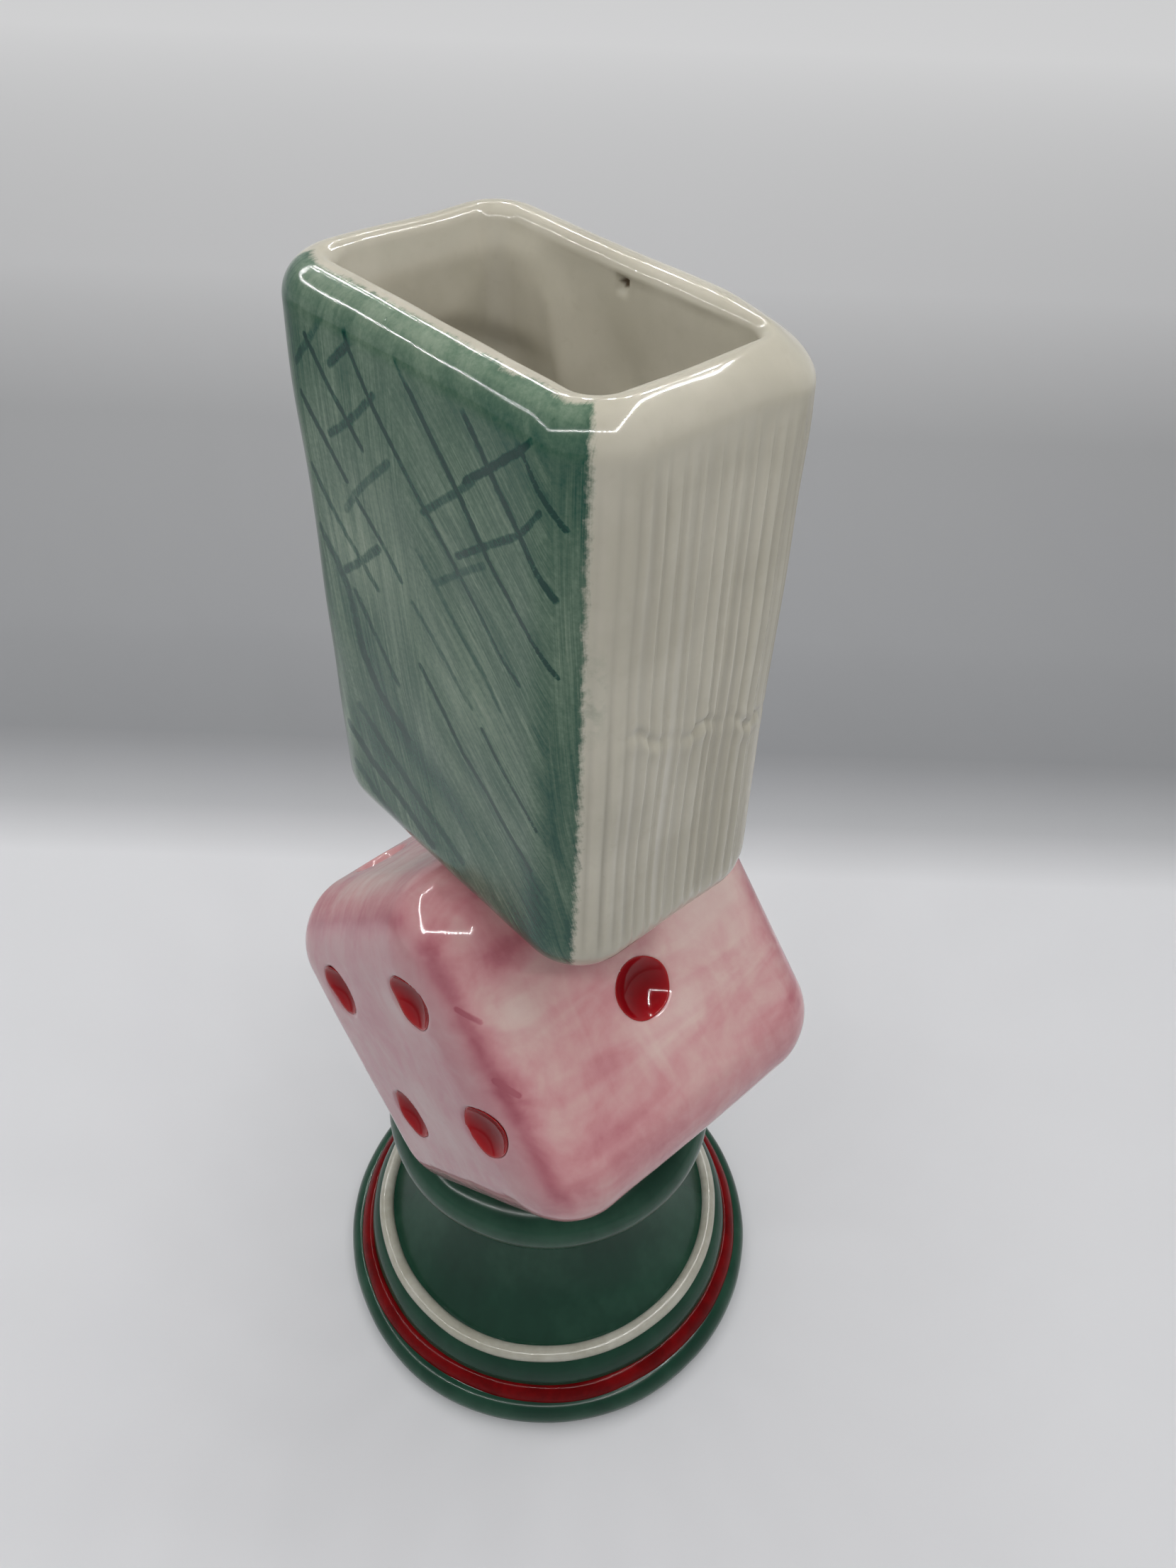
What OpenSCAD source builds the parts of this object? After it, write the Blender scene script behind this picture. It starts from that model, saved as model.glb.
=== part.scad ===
// Ceramic vase built as a stack of three enlarged game pieces: a chess-pawn pedestal,
// a die balanced on one edge, and an open-topped deck of cards that is the vessel.
// Origin: centre of the foot on the table. +Z is up, and the deck's painted face looks along -Y.

/* [Pawn pedestal] */
// Widest diameter of the foot
foot_d = 125; // [120:0.5:130]
// Height of the rounded disc at the bottom of the foot
foot_disc_h = 10; // [9:0.5:11]
// Diameter of the cream bead's centre line
shoulder_d = 100; // [98:0.5:103]
// Height of the cream bead's centre line
shoulder_z = 21.5; // [21:0.5:23]
// Diameter of the neck under the collar
neck_d = 60; // [56:1:62]
// Thickness of the pedestal's wall
pedestal_wall = 6; // [5:0.5:7]
// Width of the unglazed ring that the vase stands on
stand_ring_w = 10; // [8:0.5:11]

/* [Collar] */
// Outer diameter of the collar
collar_d = 89.5; // [88:0.5:92]
// Height of the collar's rounded edge
collar_h = 17; // [16:0.5:18]
// Height of the collar's middle above the table
collar_z = 76.3; // [75.5:0.1:77]
// Radius of the dish in the collar's top that the die is bedded in
dish_r = 34; // [32:0.5:35]
// Depth of the slip that beds the die in the dish
bed_depth = 6; // [5:0.5:7]

/* [Bands] */
// Thickness of the raised cream bead
cream_bead_d = 4.4; // [3.6:0.2:5]
// Width of the flattened red bead round the foot
red_bead_w = 5.8; // [5.4:0.2:6.2]

/* [Die] */
// Side of the die across the faces that slope
die_w = 87; // [86:0.5:88]
// Side of the die from front to back
die_t = 89; // [88:0.5:90]
// Radius of the die's edges and corners
die_edge_r = 15; // [14:0.5:16]
// Roll of the die about its front-to-back axis, in degrees
die_roll = 43; // [42:1:46]
// Height of the die's centre
die_z = 131.4; // [131:0.1:132]
// Sideways offset of the die from the pedestal's axis
die_x = -0.5; // [-1:0.1:0.5]
// Front-to-back offset of the die from the pedestal's axis
die_y = 0.2; // [-0.4:0.2:1.2]
// Thickness of the die's wall
die_wall = 8; // [7.5:0.5:9]
// Diameter of a pip's mouth
pip_d = 13.4; // [12:0.2:14]
// Diameter of the single pip's mouth
lone_pip_d = 14.4; // [13:0.2:15]
// Depth of every pip
pip_depth = 4.6; // [4:0.2:5]
// Distance between the rows of pips
pip_pitch = 36; // [34:1:39]
// How far the two sits towards the six
pip_drop = 2.8; // [0:0.2:3]
// Thickness of the enamel at the bottom of a pip
enamel_t = 0.8; // [0.6:0.1:1]
// How far below the face the enamel stops
enamel_low = 1.6; // [1.4:0.1:2]
// Diameter of the firing vent between the hollow castings
vent_d = 8; // [6:0.5:9]

/* [Card deck] */
// Width of the deck
deck_w = 83; // [81:0.5:86]
// Thickness of the deck from front to back
deck_t = 54; // [52:0.5:57]
// Height of the deck
deck_h = 119.5; // [110:0.5:128]
// Height of the deck's flat underside above the table
deck_z = 185.5; // [185.3:0.1:185.8]
// Sideways offset of the deck from the pedestal's axis
deck_x = -1.5; // [-2.5:0.5:0]
// Front-to-back offset of the deck from the pedestal's axis
deck_y = -2.5; // [-4:0.5:0]
// Radius of the deck's upright edges
deck_corner_r = 13; // [12:0.5:14]
// Radius round the outside of the rim
rim_r = 7; // [5:0.5:8]
// Radius round the deck's underside
deck_foot_r = 10; // [9:0.5:11]
// Width of the rim
rim_w = 9; // [8:0.5:10]
// Thickness of the deck's floor
deck_floor_t = 9; // [8:0.5:12]
// Number of card-edge grooves down each narrow side
card_grooves = 18; // [12:1:20]
// Depth of a card-edge groove
groove_depth = 0.5; // [0.3:0.1:0.8]

/* [Hidden] */

CREAM = [0.90, 0.88, 0.82];
CLAY = [0.80, 0.78, 0.72];
BOTTLE_GREEN = [0.07, 0.20, 0.15];
BAND_RED = [0.62, 0.03, 0.05];
PIP_RED = [0.72, 0.02, 0.05];
ROSE = [0.86, 0.62, 0.65];
SAGE = [0.50, 0.68, 0.60];

ROUND_FN = 96;   // round turned surfaces
SOFT_FN = 40;    // rounded edges of the die and the deck

foot_r = foot_d / 2;
foot_edge_r = foot_disc_h / 2;
shoulder_r = shoulder_d / 2;
neck_r = neck_d / 2;
disc_top_r = foot_r - 3.9;              // inner edge of the foot's rounded disc
step_r = foot_r - 7.1;                  // where the shoulder rises from the red bead's seat
step_z = foot_disc_h + 3.6;
red_r = (disc_top_r + step_r) / 2 - 0.1;
red_z = (foot_disc_h + step_z) / 2 - 0.6;
red_tilt = -51;                         // the seat's slope, in degrees
red_flat = 0.5;                         // thickness of the red bead as a share of its width
shoulder_top = shoulder_z + 1;          // where the stem's flare starts
stem_top = collar_z - collar_h / 2 - 4; // where the stem's flare has become the straight neck
hollow_r = shoulder_r - 9;              // inside of the wall behind the shoulder
hollow_z = shoulder_z - 7;
ring_inner_r = foot_r - foot_disc_h / 2 - stand_ring_w;
flare_steps = 24;
collar_edge_r = collar_h / 2;
collar_ring_r = collar_d / 2 - collar_edge_r;
collar_bottom = collar_z - collar_edge_r;
neck_top = collar_bottom - 1;
die_bottom = 77;                        // the lower ridge, pressed flat in the dish
die_inner_w = die_w - 2 * die_wall;
die_inner_t = die_t - 2 * die_wall;
pip_ball_r = (pow(pip_d / 2, 2) + pow(pip_depth, 2)) / (2 * pip_depth);
lone_ball_r = (pow(lone_pip_d / 2, 2) + pow(pip_depth, 2)) / (2 * pip_depth);
pip_half = pip_pitch / 2;
lone_spot = [1.7, -1.9];                // the one's pip, off the middle of its face
four_spots = [[-15.5, 21.5], [25.5, 20], [-11.5, -13], [28.5, -12.5]];
deck_flat_t = deck_t - 2 * deck_foot_r;
fillet_w = 26;
fillet_h = 4;
groove_side = 1.6;
groove_half = groove_side * sqrt(2) / 2;
groove_spread = deck_t - 2 * deck_corner_r + 8;
cavity_r = 6;
vent_len = 40;                          // long enough to pass the die's wall

// Points of a curve that turns from one radius and height to another as a quarter ellipse.
// bulge = 1 leaves the first point upright, bulge = 0 leaves it level.
function quarter(r0, z0, r1, z1, bulge, steps = 12) =
    [for (i = [0:steps])
        let (a = 90 * i / steps)
        bulge == 1
            ? [r1 + (r0 - r1) * cos(a), z0 + (z1 - z0) * sin(a)]
            : [r0 + (r1 - r0) * sin(a), z1 + (z0 - z1) * cos(a)]];

// Points of a trumpet flare that eases from a wide bottom into a straight neck.
function flare(r0, z0, r1, z1) =
    [for (i = [0:flare_steps])
        let (t = i / flare_steps)
        [r1 + (r0 - r1) * pow(1 - t, 2), z0 + (z1 - z0) * t]];

function upside_down(points) = [for (i = [len(points) - 1:-1:0]) points[i]];

// ---- Pawn pedestal ----

// Outside of the foot, shoulder and flared stem, from the table up to the neck
function pedestal_outside() = concat(
    [[foot_r - foot_edge_r, 0]],
    quarter(foot_r - foot_edge_r, 0, foot_r, foot_edge_r, 0),
    quarter(foot_r, foot_edge_r, disc_top_r, foot_disc_h, 1),
    quarter(step_r, step_z, shoulder_r - 2, shoulder_z, 1),
    flare(shoulder_r - 2.5, shoulder_top, neck_r, stem_top),
    [[neck_r, neck_top]]);

// Inside of the drained hollow, from the neck down to the standing ring
function pedestal_inside() = concat(
    [[neck_r - pedestal_wall, neck_top]],
    upside_down(flare(hollow_r, hollow_z, neck_r - pedestal_wall, stem_top)),
    [[ring_inner_r + 2, 4],
     [ring_inner_r, 0]]);

module cream_ring() {
    translate([0, 0, shoulder_z]) rotate_extrude($fn = ROUND_FN)
        translate([shoulder_r, 0]) circle(d = cream_bead_d, $fn = 32);
}

module red_ring() {
    translate([0, 0, red_z]) rotate_extrude($fn = ROUND_FN)
        translate([red_r, 0]) rotate(red_tilt) scale([1, red_flat]) circle(d = red_bead_w, $fn = 32);
}

module pawn_pedestal() {
    color(BOTTLE_GREEN) difference() {
        rotate_extrude($fn = ROUND_FN) polygon(concat(pedestal_outside(), pedestal_inside()));
        cream_ring();
        red_ring();
    }
}

module cream_bead() {
    color(CREAM) cream_ring();
}

module red_bead() {
    color(BAND_RED) red_ring();
}

// ---- Collar ----

// Half section of the collar: flat underside, round edge, dished top
module collar_section() {
    difference() {
        union() {
            translate([vent_d / 2, neck_top]) square([collar_ring_r - vent_d / 2, collar_h + 1]);
            translate([vent_d / 2, collar_bottom]) square([collar_ring_r - vent_d / 2, collar_h]);
            translate([collar_ring_r, collar_z]) circle(r = collar_edge_r, $fn = 48);
        }
        translate([0, die_bottom]) square([dish_r, collar_h]);
        translate([neck_r + 2, 0]) square([collar_d, collar_bottom]);
    }
}

module collar() {
    color(BOTTLE_GREEN) difference() {
        rotate_extrude($fn = ROUND_FN) collar_section();
        die_solid();
    }
}

module die_bed() {
    color(BOTTLE_GREEN) difference() {
        translate([0, 0, die_bottom]) cylinder(r = dish_r, h = bed_depth, $fn = ROUND_FN);
        die_solid();
        translate([0, 0, die_bottom - 1]) cylinder(d = vent_d, h = bed_depth + 2, $fn = 32);
    }
}

// ---- Die ----
// In the die's own frame +X is the one, -X the six, +Z the two, -Z the five, -Y the four, +Y the three.

module in_die_frame() {
    translate([die_x, die_y, die_z]) rotate([0, -die_roll, 0]) children();
}

module rounded_block(w, t, h, r) {
    hull() {
        for (x = [-1, 1], y = [-1, 1], z = [-1, 1]) {
            translate([x * (w / 2 - r), y * (t / 2 - r), z * (h / 2 - r)]) sphere(r = r, $fn = SOFT_FN);
        }
    }
}

// The whole die with its lower ridge pressed flat in the dish and its upper ridge flat under the deck
module die_solid() {
    intersection() {
        in_die_frame() rounded_block(die_w, die_t, die_w, die_edge_r);
        translate([-die_w, -die_t, die_bottom]) cube([2 * die_w, 2 * die_t, deck_z - die_bottom]);
    }
}

// Places its children at each pip of one face, with +Z pointing out of the face
module pips_of(face) {
    if (face == 1) place_pips([0, 90, 0], die_w / 2, [lone_spot]) children();
    if (face == 2) place_pips([0, 0, 0], die_w / 2,
        [for (s = [-1, 1]) [s * pip_half - pip_drop, s * pip_half]]) children();
    if (face == 3) place_pips([-90, 0, 0], die_t / 2,
        [for (s = [-1, 0, 1]) [s * pip_half, -s * pip_half]]) children();
    if (face == 4) place_pips([90, 0, 0], die_t / 2, four_spots) children();
    if (face == 5) place_pips([180, 0, 0], die_w / 2,
        concat([[0, 0]], [for (x = [-1, 1], y = [-1, 1]) [x * pip_half, y * pip_half]])) children();
    if (face == 6) place_pips([0, -90, 0], die_w / 2,
        [for (x = [-1, 1], y = [-1, 0, 1]) [x * pip_half, y * pip_half]]) children();
}

module place_pips(turn, out, spots) {
    in_die_frame() rotate(turn) for (s = spots) translate([s[0], s[1], out]) children();
}

// A ball that cuts a pip of the wanted mouth and depth into the face below it
module pip_ball(ball_r) {
    translate([0, 0, ball_r - pip_depth]) sphere(r = ball_r, $fn = 64);
}

// Enamel lining of one pip: thickest at the bottom, and stopping below the face and its rounded edges
module pip_lining(ball_r) {
    intersection() {
        difference() {
            pip_ball(ball_r);
            translate([0, 0, enamel_t]) pip_ball(ball_r);
        }
        translate([0, 0, -pip_depth - 1]) cylinder(r = ball_r + 1, h = pip_depth + 1 - enamel_low, $fn = 48);
    }
}

module die_shell() {
    color(ROSE) difference() {
        die_solid();
        in_die_frame() rounded_block(die_inner_w, die_inner_t, die_inner_w, die_edge_r - die_wall);
        pips_of(1) pip_ball(lone_ball_r);
        for (face = [2:6]) pips_of(face) pip_ball(pip_ball_r);
        translate([0, 0, die_bottom - 1]) cylinder(d = vent_d, h = vent_len, $fn = 32);
    }
}

module enamel_of(face) {
    color(PIP_RED) pips_of(face) pip_lining(face == 1 ? lone_ball_r : pip_ball_r);
}

module enamel_one() { enamel_of(1); }
module enamel_two() { enamel_of(2); }
module enamel_three() { enamel_of(3); }
module enamel_four() { enamel_of(4); }
module enamel_five() { enamel_of(5); }
module enamel_six() { enamel_of(6); }

// ---- Card deck ----

module in_deck_frame() {
    translate([deck_x, deck_y, deck_z]) children();
}

// Upright corner post with a rounded rim and a more rounded foot
module corner_post() {
    foot = deck_foot_r;
    rotate_extrude($fn = SOFT_FN) polygon(concat(
        [[0, 0]],
        quarter(deck_corner_r - foot, 0, deck_corner_r, foot, 0, 8),
        quarter(deck_corner_r, deck_h - rim_r, deck_corner_r - rim_r, deck_h, 1, 6),
        [[0, deck_h]]));
}

module deck_block() {
    hull() {
        for (x = [-1, 1], y = [-1, 1]) {
            translate([x * (deck_w / 2 - deck_corner_r), y * (deck_t / 2 - deck_corner_r), 0]) corner_post();
        }
    }
}

// Rounded rectangle made of squares and circles, so that its corners stay true arcs
module rounded_rectangle(w, t, r) {
    square([w - 2 * r, t], center = true);
    square([w, t - 2 * r], center = true);
    for (x = [-1, 1], y = [-1, 1]) translate([x * (w / 2 - r), y * (t / 2 - r)]) circle(r = r, $fn = 48);
}

module deck_cavity() {
    translate([0, 0, deck_floor_t]) linear_extrude(deck_h)
        rounded_rectangle(deck_w - 2 * rim_w, deck_t - 2 * rim_w, cavity_r);
}

// Shallow upright grooves between the edges of the cards, down both narrow sides
module card_edges() {
    for (side = [-1, 1], i = [0:card_grooves - 1]) {
        translate([side * (deck_w / 2 + groove_half - groove_depth),
                   groove_spread * (i / (card_grooves - 1) - 0.5), deck_h / 2])
            rotate([0, 0, 45])
                cube([groove_side, groove_side, deck_h - 3 * deck_foot_r], center = true);
    }
}

module deck_box() {
    color(SAGE) in_deck_frame() difference() {
        deck_block();
        deck_cavity();
        card_edges();
    }
}

module deck_joint() {
    color(CLAY) difference() {
        translate([-fillet_w / 2, deck_y - deck_flat_t / 2, deck_z - fillet_h])
            cube([fillet_w, deck_flat_t, fillet_h]);
        die_solid();
    }
}

pawn_pedestal();
cream_bead();
red_bead();
collar();
die_bed();
die_shell();
enamel_one();
enamel_two();
enamel_three();
enamel_four();
enamel_five();
enamel_six();
deck_joint();
deck_box();
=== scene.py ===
"""Hand-painted ceramic vase: a deck of cards on a die on a chess-pawn pedestal, in a small light tent."""
import math

import bmesh
import bpy
import numpy as np
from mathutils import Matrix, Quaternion, Vector


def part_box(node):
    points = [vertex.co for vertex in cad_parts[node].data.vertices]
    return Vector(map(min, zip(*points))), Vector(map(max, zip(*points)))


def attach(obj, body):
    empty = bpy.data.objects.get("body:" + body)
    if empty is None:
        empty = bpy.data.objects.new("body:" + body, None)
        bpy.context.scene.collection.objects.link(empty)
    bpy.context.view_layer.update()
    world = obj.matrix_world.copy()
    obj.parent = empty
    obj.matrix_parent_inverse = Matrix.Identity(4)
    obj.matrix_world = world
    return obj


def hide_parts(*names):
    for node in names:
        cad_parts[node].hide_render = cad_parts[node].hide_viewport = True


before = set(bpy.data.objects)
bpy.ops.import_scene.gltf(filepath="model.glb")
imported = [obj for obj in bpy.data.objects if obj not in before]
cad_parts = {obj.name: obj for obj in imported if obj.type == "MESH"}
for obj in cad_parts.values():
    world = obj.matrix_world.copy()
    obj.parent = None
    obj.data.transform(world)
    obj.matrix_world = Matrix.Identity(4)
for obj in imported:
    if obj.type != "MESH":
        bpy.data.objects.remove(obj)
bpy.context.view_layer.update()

MM = 0.001

# ---------------- measures, in mm, from the CAD boxes


def box_mm(node):
    low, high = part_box(node)
    return np.array(low) / MM, np.array(high) / MM


deck_low, deck_high = box_mm("deck_box")
DECK_X, DECK_Y = (deck_low[:2] + deck_high[:2]) / 2
DECK_HALF_X, DECK_HALF_Y = (deck_high[:2] - deck_low[:2]) / 2
DECK_BASE, DECK_TOP = deck_low[2], deck_high[2]
DECK_H = DECK_TOP - DECK_BASE
CORNER_R = 13.0   # upright corners of the deck, and of its well
CAVITY_R = 5.0
FOOT_R = 10.0     # round between the deck's walls and its underside
RIM_OUT = 6.4     # the rim's outer and inner rounds, which together are as wide as the wall
RIM_IN = 2.6
FLOOR_Z = 9.0     # the well's floor above the underside, and the fillet round it
FLOOR_FILLET = 8.0

DIE_ROLL = math.radians(43)   # the turn about Y that stands the die on an edge
DIE_CENTRE = np.array([-0.5, 0.3, 131.6])
DIE_HALF = np.array([43.6, 44.6, 43.6])
DIE_EDGE = 16.8
DIE_PILLOW = 0.7  # how far the middle of a face swells
DIE_BOTTOM = box_mm("die_shell")[0][2]
PIP_R = 6.7
LONE_PIP_R = 7.2
PIP_DEPTH = 4.2
PIP_SOFT = 0.55   # how softly a pip's lip rounds over
PIP_HALF = 18.0   # half the spacing of evenly spaced pips
PIP_DROP = 2.8    # how far the two's pips are shifted away from the lone pip's face
LONE_SPOT = (-1.9, -1.7)
FOUR_SPOTS = [(-15.5, 21.5), (25.5, 20.0), (-11.5, -13.0), (28.5, -12.5)]

PEDESTAL_R = box_mm("pawn_pedestal")[1][0]
PEDESTAL_TOP = box_mm("pawn_pedestal")[1][2]
COLLAR_R = box_mm("collar")[1][0]

OUT_OF_REACH = 9.0   # a distance that stands for "nowhere near"


# ---------------- mesh helpers


def wobble(points, size, seed):
    """Smooth seeded unevenness between about -1 and 1, with features of the given size in mm."""
    rng = np.random.default_rng(seed)
    total = np.zeros(points.shape[:-1])
    for _ in range(5):
        direction = rng.normal(size=3)
        direction /= np.linalg.norm(direction)
        phase = points @ direction * 2 * math.pi / size * rng.uniform(0.7, 1.4)
        total += np.sin(phase + rng.uniform(0, 6.28))
    return total / 3


def smooth_step(low, high, value):
    t = np.clip((value - low) / (high - low), 0, 1)
    return t * t * (3 - 2 * t)


def bump(value, centre, width):
    return np.exp(-(((value - centre) / width) ** 2))


def make_object(name, vertices, faces, fields=None):
    """A smooth-shaded object from vertices in mm, with float or vector fields stored on its points."""
    mesh = bpy.data.meshes.new(name)
    mesh.from_pydata((np.asarray(vertices) * MM).tolist(), [], faces)
    for key, values in (fields or {}).items():
        values = np.asarray(values, np.float32)
        kind = "FLOAT" if values.ndim == 1 else "FLOAT_VECTOR"
        attribute = mesh.attributes.new(key, kind, "POINT")
        attribute.data.foreach_set("value" if values.ndim == 1 else "vector", values.ravel())
    work = bmesh.new()
    work.from_mesh(mesh)
    bmesh.ops.recalc_face_normals(work, faces=work.faces)
    work.to_mesh(mesh)
    work.free()
    mesh.polygons.foreach_set("use_smooth", [True] * len(mesh.polygons))
    mesh.update()
    made = bpy.data.objects.new(name, mesh)
    bpy.context.scene.collection.objects.link(made)
    return made


def loft_faces(rows, columns, start_pole, end_pole):
    """Faces of closed rings stacked row by row; poles close the first and the last ring."""
    first = 1 if start_pole else 0
    index = first + np.arange(rows * columns).reshape(rows, columns)
    a, b = index[:-1], index[1:]
    quads = np.stack([a, np.roll(a, -1, 1), np.roll(b, -1, 1), b], -1).reshape(-1, 4).tolist()
    if start_pole:
        ring = index[0]
        quads += [[0, int(n), int(m)] for m, n in zip(ring, np.roll(ring, -1))]
    if end_pole:
        ring, pole = index[-1], first + rows * columns
        quads += [[pole, int(m), int(n)] for m, n in zip(ring, np.roll(ring, -1))]
    return quads


def place(made, slot_name, *nodes):
    """The piece rides on the one body and stands for CAD nodes, which it hides; slot_name is not used."""
    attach(made, "root")
    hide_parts(*nodes)
    return made


# ---------------- material helpers


class Shader:
    """A small wrapper that makes node trees readable."""

    def __init__(self, name):
        self.material = bpy.data.materials.new(name)
        self.material.use_nodes = True
        self.tree = self.material.node_tree
        self.out = self.tree.nodes["Principled BSDF"]

    def node(self, kind, **settings):
        made = self.tree.nodes.new(kind)
        for key, value in settings.items():
            setattr(made, key, value)
        return made

    def link(self, source, target):
        self.tree.links.new(source, target)

    def feed(self, socket, value):
        if isinstance(value, bpy.types.NodeSocket):
            self.link(value, socket)
        else:
            socket.default_value = value

    def field(self, name, vector=False):
        made = self.node("ShaderNodeAttribute", attribute_name=name)
        return made.outputs["Vector" if vector else "Fac"]

    def place(self):
        return self.node("ShaderNodeTexCoord").outputs["Object"]

    def mapped(self, vector, scale=(1, 1, 1), turn=(0, 0, 0)):
        made = self.node("ShaderNodeMapping")
        self.link(vector, made.inputs["Vector"])
        made.inputs["Scale"].default_value = scale
        made.inputs["Rotation"].default_value = [math.radians(t) for t in turn]
        return made.outputs["Vector"]

    def noise(self, vector, scale, detail=3.0, rough=0.5, distortion=0.0):
        made = self.node("ShaderNodeTexNoise")
        self.link(vector, made.inputs["Vector"])
        settings = {"Scale": scale, "Detail": detail, "Roughness": rough, "Distortion": distortion}
        for key, value in settings.items():
            made.inputs[key].default_value = value
        return made.outputs["Fac"]

    def cells(self, vector, scale):
        made = self.node("ShaderNodeTexVoronoi")
        self.link(vector, made.inputs["Vector"])
        made.inputs["Scale"].default_value = scale
        return made.outputs["Distance"]

    def maths(self, operation, a, b):
        made = self.node("ShaderNodeMath", operation=operation)
        self.feed(made.inputs[0], a)
        self.feed(made.inputs[1], b)
        return made.outputs[0]

    def add(self, a, b):
        return self.maths("ADD", a, b)

    def less(self, a, b):
        return self.maths("SUBTRACT", a, b)

    def times(self, a, b):
        return self.maths("MULTIPLY", a, b)

    def swing(self, noise, amount):
        """How far a noise strays from its middle, times amount."""
        return self.times(self.less(noise, 0.5), amount)

    def limit(self, value):
        return self.maths("MINIMUM", self.maths("MAXIMUM", value, 0.0), 1.0)

    def span(self, value, low, high, to_low=0.0, to_high=1.0):
        """A smooth step from to_low, where the value is low, to to_high, where it is high."""
        made = self.node("ShaderNodeMapRange", interpolation_type="SMOOTHSTEP")
        limits = {"Value": value, "From Min": low, "From Max": high, "To Min": to_low, "To Max": to_high}
        for key, number in limits.items():
            self.feed(made.inputs[key], number)
        return made.outputs["Result"]

    def blend(self, share, a, b):
        return self.add(self.times(a, self.less(1.0, share)), self.times(b, share))

    def ramp(self, value, stops):
        made = self.node("ShaderNodeValToRGB")
        self.feed(made.inputs["Fac"], value)
        elements = made.color_ramp.elements
        while len(elements) < len(stops):
            elements.new(0.5)
        for element, (at, colour) in zip(elements, stops):
            element.position = at
            element.color = (*colour, 1)
        return made.outputs["Color"]

    def mix(self, amount, a, b, blend="MIX"):
        made = self.node("ShaderNodeMix", data_type="RGBA", blend_type=blend)
        self.feed(made.inputs["Factor"], amount)
        for socket, value in ((made.inputs["A"], a), (made.inputs["B"], b)):
            self.feed(socket, value if isinstance(value, bpy.types.NodeSocket) else (*value, 1))
        return made.outputs["Result"]

    def finish(self, colour, roughness, height=None, depth=0.1, ior=1.5):
        """Connects colour, roughness and a height in which 1 stands for depth millimetres."""
        self.feed(self.out.inputs["Base Color"], colour)
        self.feed(self.out.inputs["Roughness"], roughness)
        self.out.inputs["IOR"].default_value = ior
        if height is not None:
            made = self.node("ShaderNodeBump")
            made.inputs["Strength"].default_value = 1.0
            made.inputs["Distance"].default_value = depth * MM
            self.link(height, made.inputs["Height"])
            self.link(made.outputs["Normal"], self.out.inputs["Normal"])
        return self.material


# ---------------- camera, floor, light

# The camera is close, above the rim, and looks down on the corner of the painted face and the right side.
CAMERA_AT = (0.14424, -0.12568, 0.3802)
CAMERA_AIM = (-0.52709, 0.49697, -0.68935)
CAMERA_ROLL = math.radians(2.12)
LENS = 28.21


def make_camera():
    data = bpy.data.cameras.new("camera")
    data.sensor_width = 36
    data.lens = LENS
    data.clip_start = 0.01
    made = bpy.data.objects.new("camera", data)
    made.location = CAMERA_AT
    made.rotation_mode = "QUATERNION"
    level = Vector(CAMERA_AIM).to_track_quat("-Z", "Y")
    made.rotation_quaternion = level @ Quaternion((0, 0, 1), CAMERA_ROLL)
    bpy.context.scene.collection.objects.link(made)
    bpy.context.scene.camera = made


AWAY = Vector((CAMERA_AIM[0], CAMERA_AIM[1], 0)).normalized()
SIDEWAYS = Vector((-AWAY.y, AWAY.x, 0))
FLOOR_REACH = 8.0
TONE_REACH = 2.0    # the distance away from the camera over which the floor's tone changes
# Painted light and shade in the floor's colour, by distance away from the camera's side
FLOOR_LIGHT_AND_SHADE = [
    (0.0, (0.64, 0.645, 0.665)), (0.078, (0.64, 0.645, 0.665)), (0.094, (0.41, 0.415, 0.43)),
    (0.116, (0.25, 0.255, 0.265)), (0.16, (0.29, 0.295, 0.305)), (0.5, (0.33, 0.33, 0.335)),
]
# Painted glow: the floor gives off light further away, standing in for a lit wall
FLOOR_PAINTED_GLOW = [
    (0.0, (0, 0, 0)), (0.15, (0, 0, 0)), (0.27, (0.07, 0.07, 0.07)),
    (0.39, (0.28, 0.28, 0.282)), (0.76, (0.52, 0.52, 0.522)), (1.0, (0.52, 0.52, 0.522)),
]


def make_floor():
    """A pale sweep with painted light and shade: painted bright under the light, a painted soft shadow band
    behind, and a painted glow that makes it paler again further off.
    """
    corners = [(a * FLOOR_REACH, b * FLOOR_REACH, 0) for a, b in ((-1, -1), (1, -1), (1, 1), (-1, 1))]
    mesh = bpy.data.meshes.new("floor")
    mesh.from_pydata(corners, [], [(0, 1, 2, 3)])
    floor = bpy.data.objects.new("floor", mesh)
    bpy.context.scene.collection.objects.link(floor)
    s = Shader("floor")
    along = s.node("ShaderNodeVectorMath", operation="DOT_PRODUCT")
    s.link(s.place(), along.inputs[0])
    along.inputs[1].default_value = AWAY
    far = s.maths("DIVIDE", along.outputs["Value"], TONE_REACH)
    s.feed(s.out.inputs["Base Color"], s.ramp(far, FLOOR_LIGHT_AND_SHADE))
    s.out.inputs["Roughness"].default_value = 0.6
    s.out.inputs["Specular IOR Level"].default_value = 0.1
    s.link(s.ramp(far, FLOOR_PAINTED_GLOW), s.out.inputs["Emission Color"])
    s.out.inputs["Emission Strength"].default_value = 1.0
    mesh.materials.append(s.material)


LAMP_HEIGHT = 0.74
LIGHT_TONE = (1.0, 0.993, 0.985)
SOFT = {
    "centre": (-0.08, -0.04), "half": (0.40, 0.44), "count": 7,
    "power": 0.325, "size": 0.05, "shines": False,
}
BEADS = {
    "centre": (-0.22, -0.15), "half": (0.47, 0.50), "count": 15,
    "power": 0.26, "size": 0.020, "shines": True,
}
SKY_STRENGTH = 0.48


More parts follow.
